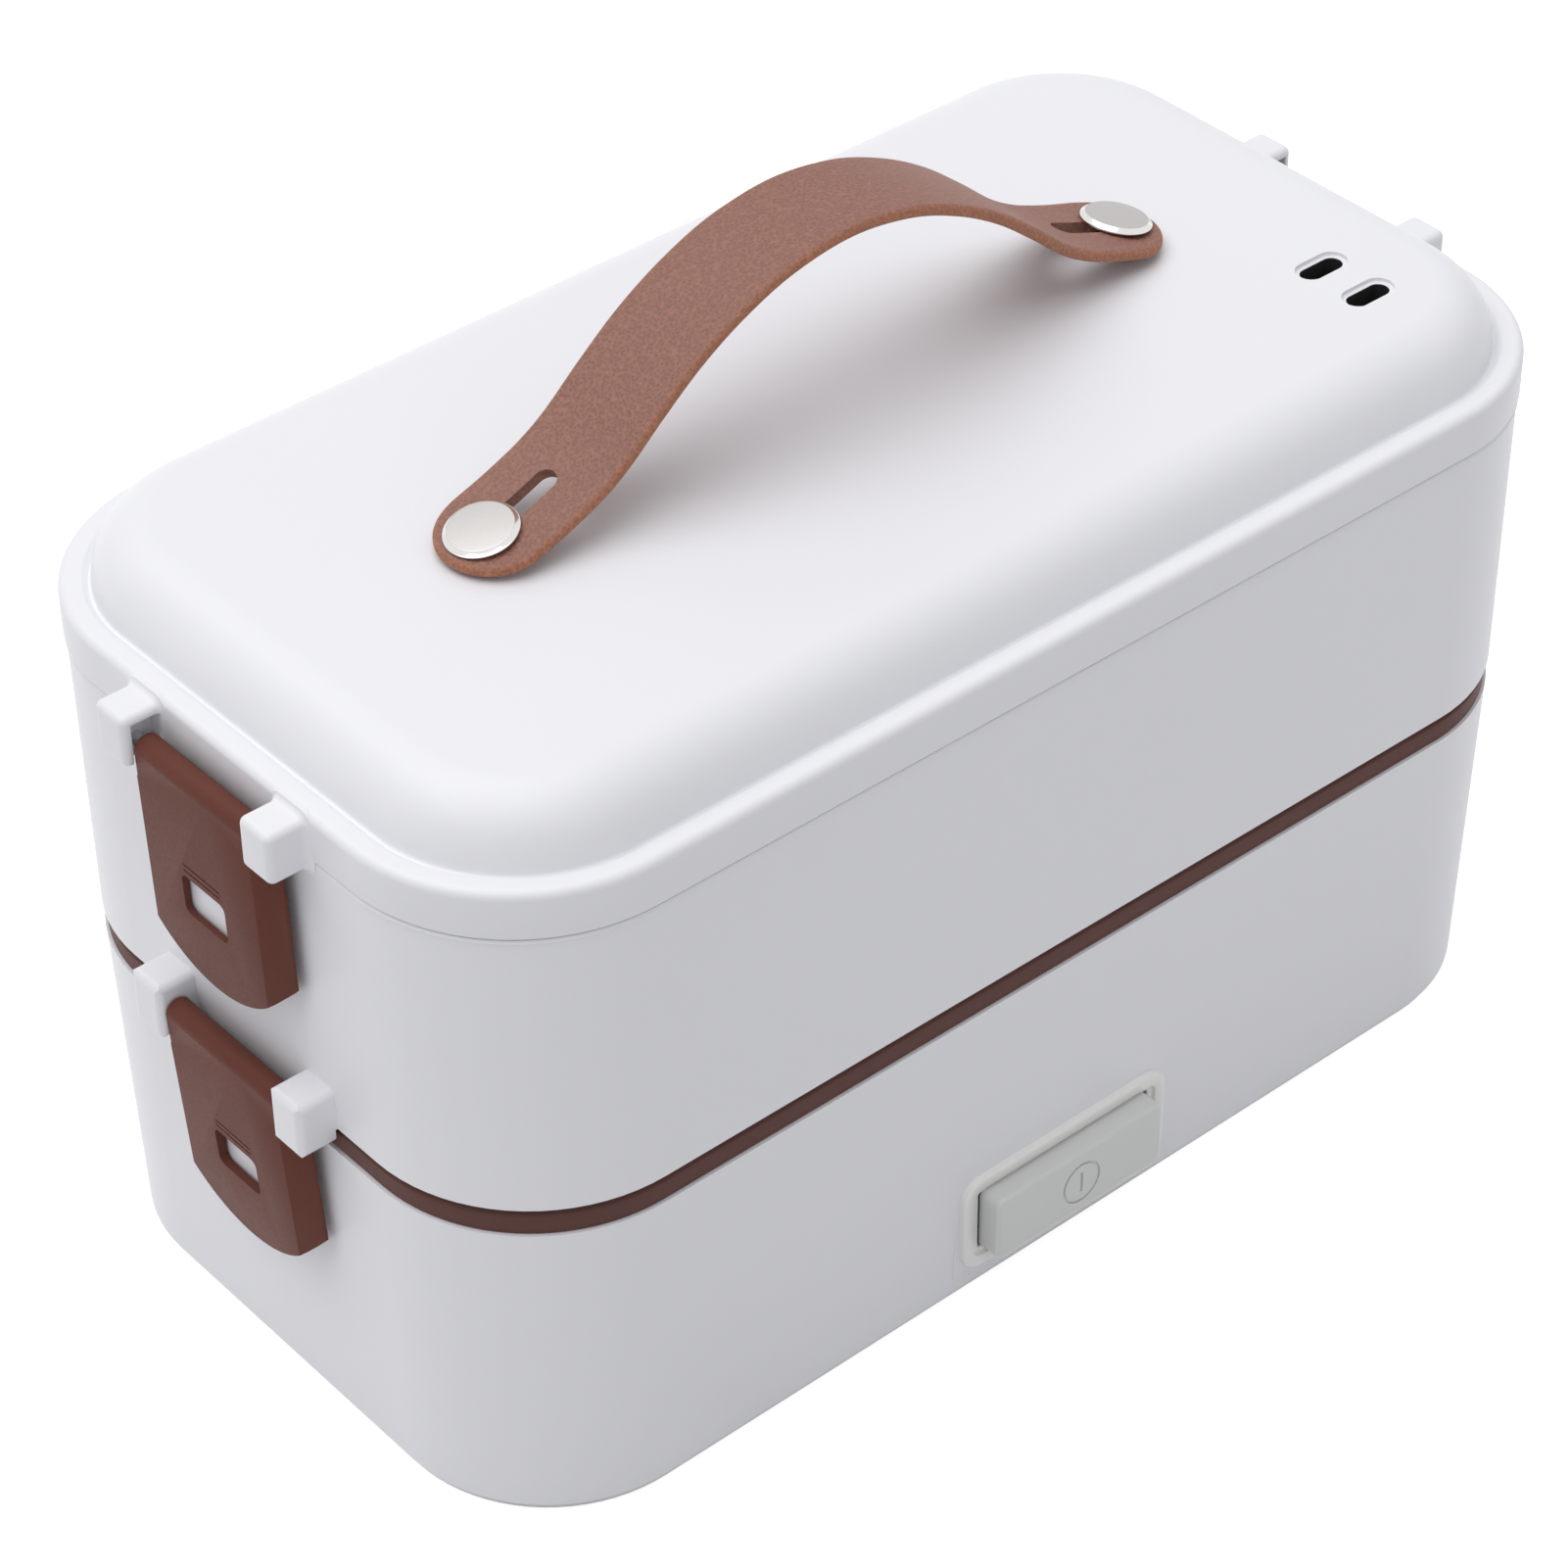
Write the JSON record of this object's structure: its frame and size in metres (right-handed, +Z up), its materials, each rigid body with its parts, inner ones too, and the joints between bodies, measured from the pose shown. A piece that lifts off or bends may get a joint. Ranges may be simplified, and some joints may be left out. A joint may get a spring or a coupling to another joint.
{
  "type": "electric lunch box",
  "caption": "Two-tier electric lunch box with a heating base, a steaming tier, a domed lid held by end latches, and an arched strap handle.",
  "frame": {"origin": "centre of the box on the plane that its feet stand on", "axes": "+X along the length, -Y towards the switch side, +Z up"},
  "size_m": [0.246, 0.1302, 0.1752],
  "materials": {
    "white_plastic": "fine satin moulded polypropylene",
    "cover_plastic": "plain moulded",
    "foot_rubber": "matte",
    "steel_parts": "plain zinc-plated",
    "tray_steel": "satin stainless",
    "cap_steel": "satin face with a bright bevel",
    "band_silicone": "smooth dark brown silicone",
    "clear_silicone": "translucent silicone",
    "heater_metal": "plain",
    "dark_plastic": "plain moulded",
    "contact_brass": "plain",
    "switch_plastic": "milky translucent",
    "lead_rubber": "plain insulated",
    "inner_plastic": "plain moulded",
    "latch_plastic": "satin brown",
    "strap_leather": "fine pebble grain",
    "clear_plastic": "clear moulded"
  },
  "bodies": {
    "base": {"base_shell": "white_plastic", "base_cover": "cover_plastic", "feet": "foot_rubber", "base_screws": "steel_parts", "band_ring": "band_silicone", "heating_tray": "tray_steel", "tray_seal": "clear_silicone", "heater": "heater_metal", "heater_clamp": "steel_parts", "clamp_nuts": "steel_parts", "thermostat": "dark_plastic", "thermal_fuse": "heater_metal", "inlet_socket": "dark_plastic", "inlet_pins": "contact_brass", "switch_bezel": "switch_plastic", "switch_housing": "dark_plastic", "leads": "lead_rubber", "lower_bowl": "tray_steel", "lower_bowl_lid": "inner_plastic", "lower_bowl_seal": "clear_silicone"},
    "button": {"switch_button": "switch_plastic"},
    "upper_tier": {"upper_shell": "white_plastic", "steam_floor": "tray_steel", "upper_bowl": "tray_steel", "upper_bowl_lid": "inner_plastic", "upper_bowl_seal": "clear_silicone", "tier_latch_pins": "steel_parts"},
    "lid": {"lid_shell": "white_plastic", "lid_liner": "inner_plastic", "lid_seal": "clear_silicone", "vent_insert": "dark_plastic", "lid_latch_pins": "steel_parts", "strap": "strap_leather", "strap_caps": "cap_steel", "strap_washers": "clear_plastic", "stud_nuts": "steel_parts"},
    "lower_left_latch": {"latch_lower_left": "latch_plastic"},
    "lower_right_latch": {"latch_lower_right": "latch_plastic"},
    "upper_left_latch": {"latch_upper_left": "latch_plastic"},
    "upper_right_latch": {"latch_upper_right": "latch_plastic"}
  },
  "joints": [
    {"name": "tier_lift", "type": "slide", "parent": "base", "child": "upper_tier", "axis": [0, 0, 1], "range_m": [0, 0.12]},
    {"name": "lid_lift", "type": "slide", "parent": "upper_tier", "child": "lid", "axis": [0, 0, 1], "range_m": [0, 0.1]},
    {"name": "lower_left_latch_hinge", "type": "hinge", "parent": "upper_tier", "child": "lower_left_latch", "pos_m": [-0.1193, 0, 0.0708], "axis": [0, 1, 0], "range_deg": [0, 95]},
    {"name": "lower_right_latch_hinge", "type": "hinge", "parent": "upper_tier", "child": "lower_right_latch", "pos_m": [0.1193, 0, 0.0708], "axis": [0, -1, 0], "range_deg": [0, 95]},
    {"name": "upper_left_latch_hinge", "type": "hinge", "parent": "lid", "child": "upper_left_latch", "pos_m": [-0.1193, 0, 0.123], "axis": [0, 1, 0], "range_deg": [0, 95]},
    {"name": "upper_right_latch_hinge", "type": "hinge", "parent": "lid", "child": "upper_right_latch", "pos_m": [0.1193, 0, 0.123], "axis": [0, -1, 0], "range_deg": [0, 95]},
    {"name": "switch_press", "type": "slide", "parent": "base", "child": "button", "axis": [0, 1, 0], "range_m": [0, 0.0015], "stiffness_N_per_m": 400, "springref_m": -0.001}
  ]
}
